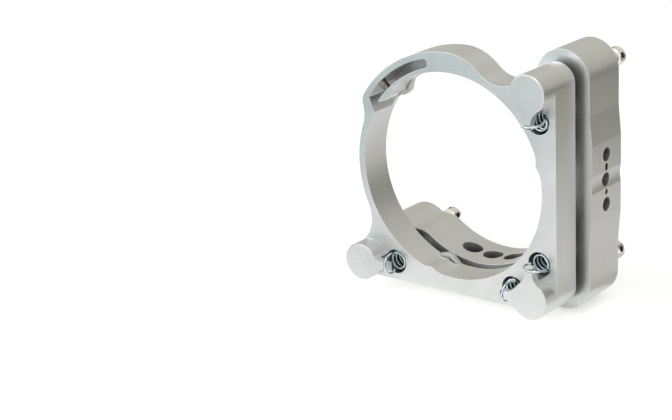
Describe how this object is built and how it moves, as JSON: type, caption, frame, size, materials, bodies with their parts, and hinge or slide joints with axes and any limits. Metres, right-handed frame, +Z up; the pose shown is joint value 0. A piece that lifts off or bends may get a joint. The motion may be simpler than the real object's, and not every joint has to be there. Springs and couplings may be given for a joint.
{
  "type": "kinematic mirror mount",
  "caption": "Kinematic mirror mount: flexure-clamp ring plate sprung against an L-shaped back plate by fine-thread ball-tipped adjusters.",
  "frame": {"origin": "centre of the optic bore on the front face of the front plate", "axes": "+X right and +Z up as seen from the optic side, +Y backwards along the adjusters"},
  "size_m": [0.0988, 0.0628, 0.0988],
  "materials": {
    "matte_steel": "bead-blasted stainless steel",
    "bright_steel": "turned bright stainless steel",
    "hard_steel": "ground hardened steel",
    "zinc_wire": "bright zinc-plated spring wire",
    "dark_steel": "plain alloy steel"
  },
  "bodies": {
    "base": {"back_plate": "matte_steel", "bushing_tr": "bright_steel", "bushing_bl": "bright_steel", "bushing_br": "bright_steel", "anchor_pin_tr": "bright_steel", "anchor_pin_bl": "bright_steel", "anchor_pin_br_up": "bright_steel", "anchor_pin_br_left": "bright_steel"},
    "tr_tip": {"ball_tr": "hard_steel"},
    "tr_screw": {"adjuster_tr": "bright_steel"},
    "bl_tip": {"ball_bl": "hard_steel"},
    "bl_screw": {"adjuster_bl": "bright_steel"},
    "br_tip": {"ball_br": "hard_steel"},
    "br_screw": {"adjuster_br": "bright_steel"},
    "diagonal_link": {"spring_br_left": "zinc_wire"},
    "pitch_link": {"spring_br_up": "zinc_wire"},
    "front": {"front_plate": "matte_steel", "vee_seat_tr": "hard_steel", "flat_seat_bl": "hard_steel", "cone_seat_br": "hard_steel", "spring_tr": "zinc_wire", "spring_bl": "zinc_wire"},
    "setscrew": {"flexure_setscrew": "dark_steel"}
  },
  "joints": [
    {"name": "tr_advance", "type": "slide", "parent": "base", "child": "tr_tip", "axis": [0, -1, 0], "range_m": [-0.002, 0.002]},
    {"name": "tr_turn", "type": "hinge", "parent": "tr_tip", "child": "tr_screw", "pos_m": [0.038, 0.04, 0.038], "axis": [0, -1, 0], "range_deg": [-2835, 2835]},
    {"name": "bl_advance", "type": "slide", "parent": "base", "child": "bl_tip", "axis": [0, -1, 0], "range_m": [-0.002, 0.002]},
    {"name": "bl_turn", "type": "hinge", "parent": "bl_tip", "child": "bl_screw", "pos_m": [-0.038, 0.04, -0.038], "axis": [0, -1, 0], "range_deg": [-2835, 2835]},
    {"name": "br_advance", "type": "slide", "parent": "base", "child": "br_tip", "axis": [0, -1, 0], "range_m": [-0.002, 0.002]},
    {"name": "br_turn", "type": "hinge", "parent": "br_tip", "child": "br_screw", "pos_m": [0.038, 0.04, -0.038], "axis": [0, -1, 0], "range_deg": [-2835, 2835]},
    {"name": "diagonal_tilt", "type": "hinge", "parent": "base", "child": "diagonal_link", "pos_m": [0, 0.00111, 0], "axis": [-0.7071, 0, -0.7071], "range_deg": [-2.15, 2.15], "deforming": ["spring_br_left"]},
    {"name": "pitch_tilt", "type": "hinge", "parent": "diagonal_link", "child": "pitch_link", "pos_m": [0, 0.00111, -0.038], "axis": [1, 0, 0], "range_deg": [-1.52, 1.52], "deforming": ["spring_br_up"]},
    {"name": "yaw_tilt", "type": "hinge", "parent": "pitch_link", "child": "front", "pos_m": [0.038, 0.00111, 0], "axis": [0, 0, 1], "range_deg": [-1.52, 1.52], "deforming": ["spring_tr", "spring_bl"]},
    {"name": "setscrew_turn", "type": "hinge", "parent": "front", "child": "setscrew", "pos_m": [-0.0308, 0.00255, 0.0308], "axis": [0.7071, 0, -0.7071], "range_deg": [-720, 0]}
  ],
  "couplings": [
    {"joint": "tr_turn", "follows": "tr_advance", "rad_per_m": 24737},
    {"joint": "bl_turn", "follows": "bl_advance", "rad_per_m": 24737},
    {"joint": "br_turn", "follows": "br_advance", "rad_per_m": 24737},
    {"joint": "diagonal_tilt", "follows": "br_advance", "rad_per_m": 18.607},
    {"joint": "pitch_tilt", "follows": "tr_advance", "rad_per_m": 13.157},
    {"joint": "yaw_tilt", "follows": "bl_advance", "rad_per_m": 13.157}
  ]
}
